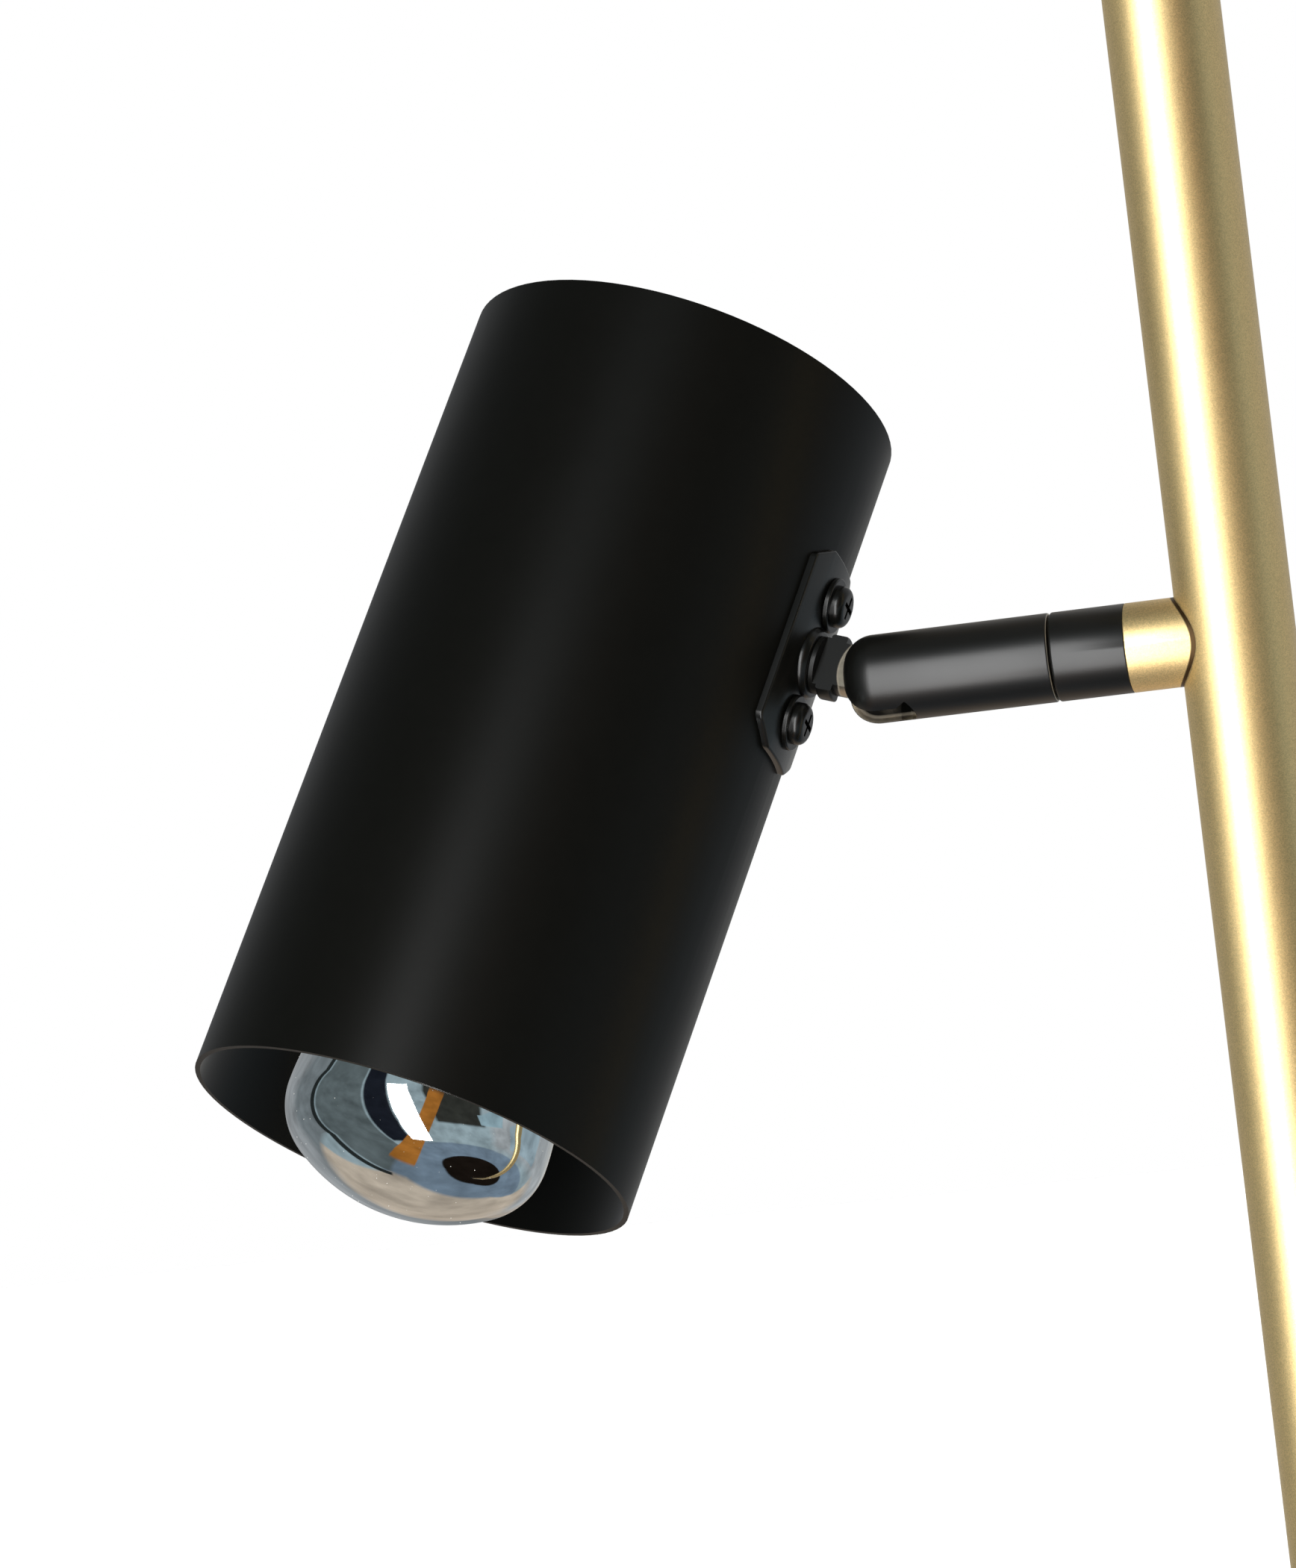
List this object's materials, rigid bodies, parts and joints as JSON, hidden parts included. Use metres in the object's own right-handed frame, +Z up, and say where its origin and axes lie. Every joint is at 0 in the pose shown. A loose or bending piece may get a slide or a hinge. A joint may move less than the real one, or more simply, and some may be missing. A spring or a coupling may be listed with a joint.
{
  "type": "tension pole lamp",
  "caption": "Floor-to-ceiling tension pole lamp: telescoping pole with a sprung top and rubber pads, and a cylinder spot head on a slotted swivel that pans and tilts.",
  "frame": {"origin": "centre of the foot pad's underside, on the floor", "axes": "+Z up along the pole, -X along the head's arm, +Y towards the back of the lamp, where the lead would enter"},
  "size_m": [0.2374, 0.146, 2.4002],
  "materials": {
    "pole_gold": "satin champagne gold with a fine flake",
    "black_coat": "satin black powder coat",
    "black_screw": "black oxide, satin",
    "brass_trim": "satin brass",
    "brass_thread": "plain machined brass",
    "steel_plain": "zinc-plated",
    "steel_rod": "polished",
    "steel_spring": "drawn spring wire",
    "plug_metal": "plain turned",
    "black_rubber": "matt",
    "black_plastic": "moulded, satin",
    "white_nylon": "moulded nylon",
    "holder_plastic": "moulded, dark",
    "bulb_clear": "clear",
    "bulb_mirror": "silvered front",
    "cap_metal": "rolled",
    "contact_metal": "plain"
  },
  "bodies": {
    "pole": {"foot_pad": "black_rubber", "foot_cup": "black_coat", "foot_bolt": "steel_plain", "foot_insert": "plug_metal", "lead_inlet": "black_rubber", "lower_tube": "pole_gold", "lower_coupler": "brass_trim", "middle_tube": "pole_gold", "upper_coupler": "brass_trim", "upper_tube": "pole_gold", "guide_bush": "black_plastic", "clamp_collar": "black_coat", "arm_stub": "pole_gold", "arm_nipple": "brass_thread", "arm_nut": "steel_plain", "swivel_ring": "black_coat"},
    "lock_knob": {"lock_screw": "steel_plain", "lock_knob": "black_plastic"},
    "telescope": {"tube_glide": "white_nylon", "inner_tube": "pole_gold", "spring_seat": "plug_metal", "seat_pin": "steel_plain", "coil_spring": "steel_spring", "top_bush": "black_plastic"},
    "plunger": {"plunger_rod": "steel_rod", "ceiling_cup": "black_coat", "ceiling_nut": "steel_plain", "ceiling_pad": "black_rubber"},
    "swivel": {"pan_nut": "brass_thread", "pan_washer": "brass_thread", "swivel_barrel": "black_coat", "pivot_pin": "steel_plain"},
    "head": {"knuckle": "black_coat", "bracket_plate": "black_coat", "bracket_screws": "black_screw", "bracket_nuts": "steel_plain", "stem_nut": "steel_plain", "shade_tube": "black_coat", "shade_lid": "black_coat", "holder_strap": "steel_plain", "holder_nipple": "brass_thread", "holder_nut": "steel_plain", "lampholder": "holder_plastic", "holder_shell": "contact_metal", "holder_contact": "contact_metal", "bulb_cap": "cap_metal", "cap_tip": "cap_metal", "bulb_bowl": "bulb_clear", "bulb_dome": "bulb_mirror", "bulb_capsule": "bulb_clear", "bulb_supports": "steel_plain"}
  },
  "joints": [
    {"name": "pan", "type": "hinge", "parent": "pole", "child": "swivel", "pos_m": [0, 0, 1.45], "axis": [-1, 0, 0], "range_deg": [-191.4, 138.6]},
    {"name": "tilt", "type": "hinge", "parent": "swivel", "child": "head", "pos_m": [-0.0678, 0, 1.45], "axis": [0, -0.8957, 0.4446], "range_deg": [-8.1, 54.9]},
    {"name": "telescope", "type": "slide", "parent": "pole", "child": "telescope", "axis": [0, 0, 1], "range_m": [-0.2, 0.12]},
    {"name": "plunger", "type": "slide", "parent": "telescope", "child": "plunger", "axis": [0, 0, 1], "range_m": [-0.04, 0], "stiffness_N_per_m": 2000, "springref_m": 0.01, "deforming": ["coil_spring"]},
    {"name": "lock_knob", "type": "hinge", "parent": "pole", "child": "lock_knob", "pos_m": [0, 0, 1.8362], "axis": [1, 0, 0], "range_deg": [-180, 180]}
  ]
}
